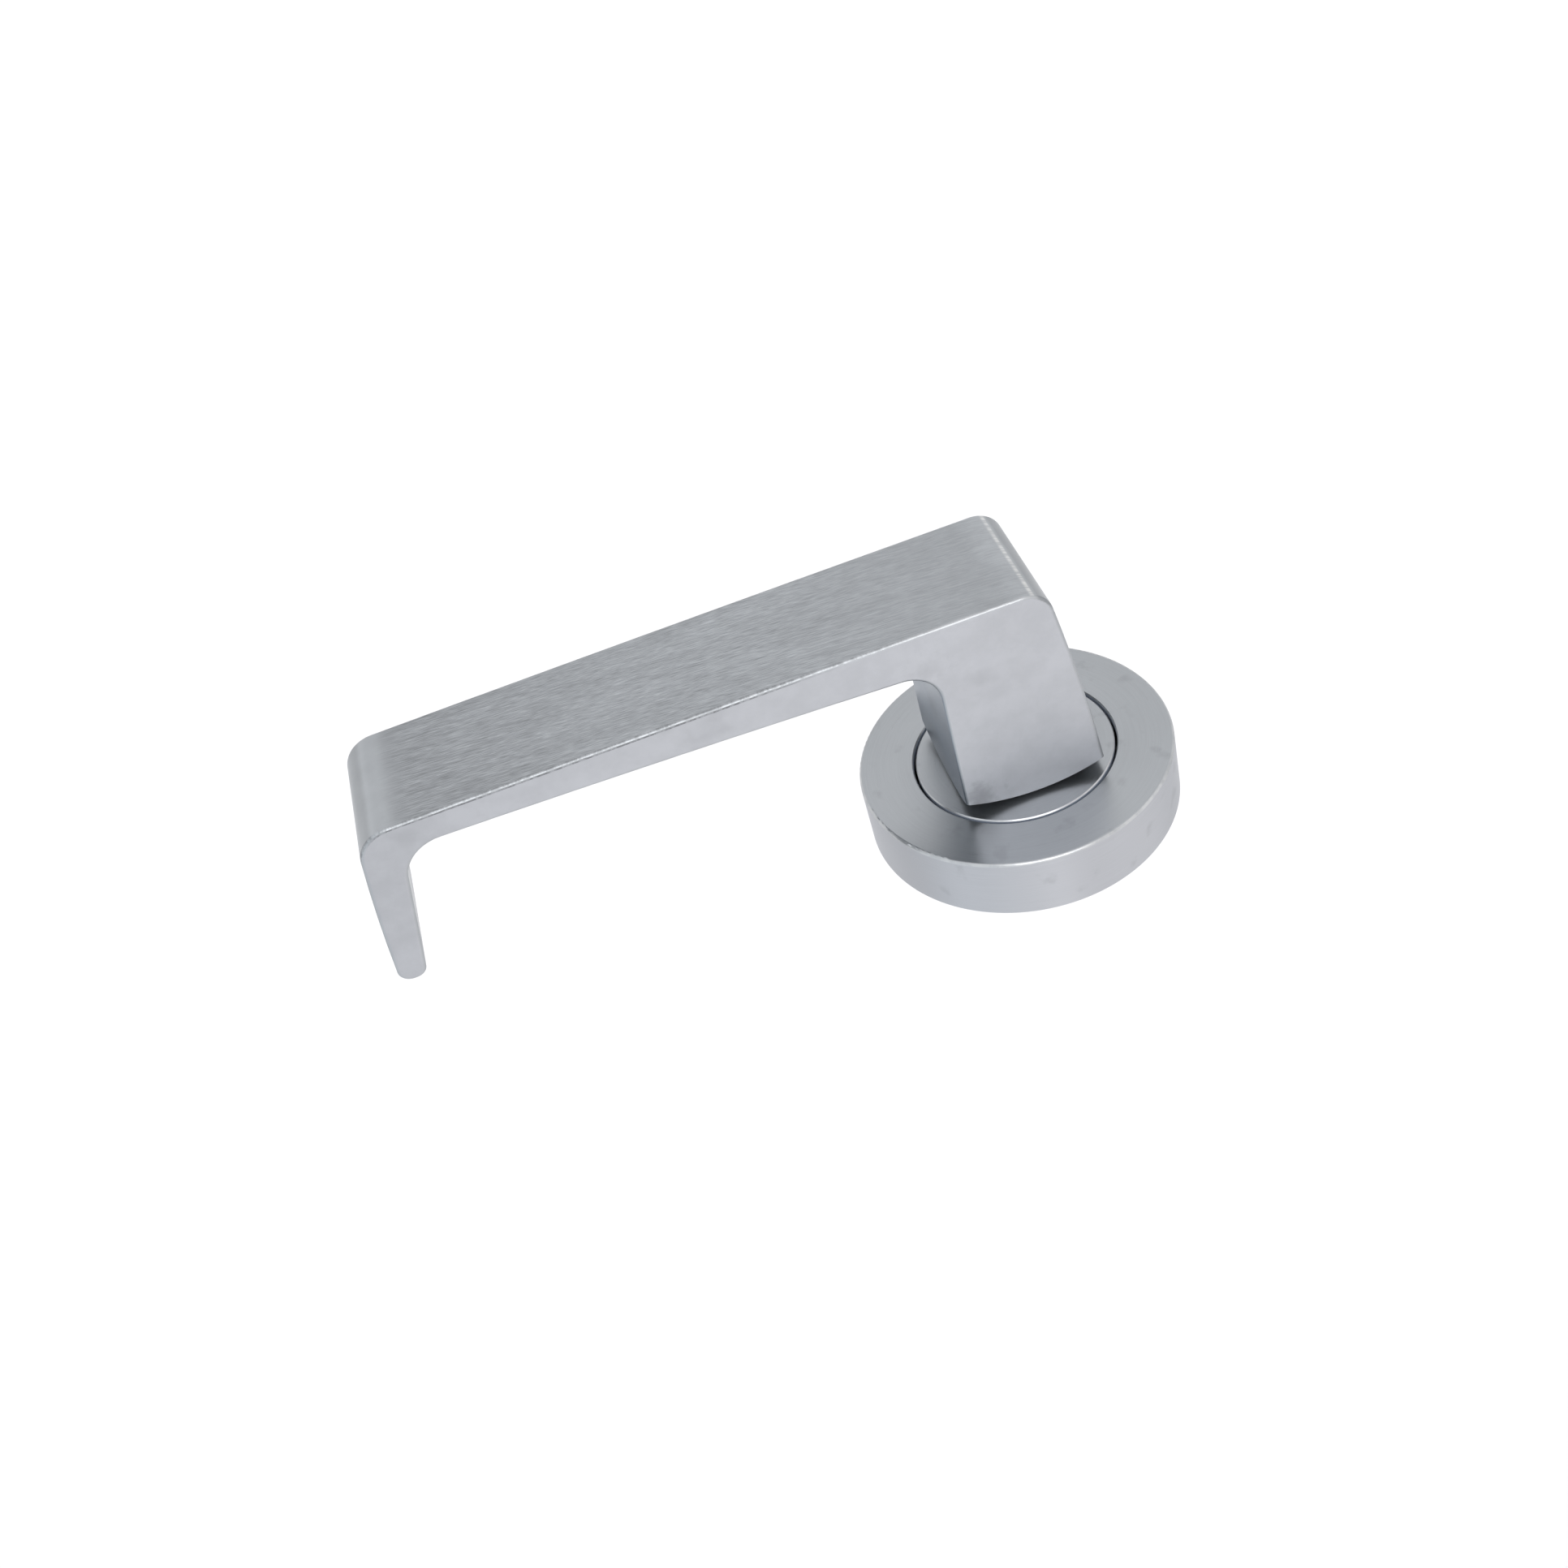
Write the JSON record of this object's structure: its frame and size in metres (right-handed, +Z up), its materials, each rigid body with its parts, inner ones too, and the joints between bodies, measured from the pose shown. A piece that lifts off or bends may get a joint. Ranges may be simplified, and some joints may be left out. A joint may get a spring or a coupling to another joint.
{
  "type": "door lever handle",
  "caption": "Flat square-return door lever on a round sprung rose, with a spring housing, tapped fixing posts and a square spindle behind.",
  "frame": {"origin": "on the spindle's axis, in the plane of the door's face that the rose sits on", "axes": "+Z up with the handle mounted, +X along the lever from its neck to its tip, -Y out of the door towards the hand, +Y into the door"},
  "size_m": [0.1354, 0.0704, 0.054],
  "materials": {
    "satin_chrome": "satin chrome plate, brushed along the lever's front",
    "diecast_zinc": "raw zinc die casting, matt",
    "zinc_plated_steel": "bright zinc plate",
    "spring_steel": "oiled spring steel",
    "black_steel": "black oxide",
    "nylon": "natural nylon",
    "black_rubber": "matt",
    "gasket_foam": "closed-cell foam sheet"
  },
  "bodies": {
    "rose": {"rose_cover": "satin_chrome", "mounting_plate": "diecast_zinc", "back_gasket": "gasket_foam", "fixing_posts": "zinc_plated_steel", "snap_ring": "spring_steel", "rear_bush": "nylon", "hub_washer": "spring_steel", "housing_lid": "zinc_plated_steel", "lid_screws": "zinc_plated_steel", "front_bush": "nylon", "stop_buffers": "black_rubber", "return_spring": "spring_steel"},
    "lever": {"lever_handle": "satin_chrome", "centre_disc": "satin_chrome", "disc_ring": "black_rubber", "drive_hub": "diecast_zinc", "spring_washer": "spring_steel", "circlip": "spring_steel", "grub_screw": "black_steel", "spindle": "zinc_plated_steel"}
  },
  "joints": [
    {"name": "lever_turn", "type": "hinge", "parent": "rose", "child": "lever", "pos_m": [0, 0, 0], "axis": [0, 1, 0], "range_deg": [0, 45], "stiffness_Nm_per_rad": 1, "springref_deg": -25.78, "deforming": ["return_spring"]}
  ]
}
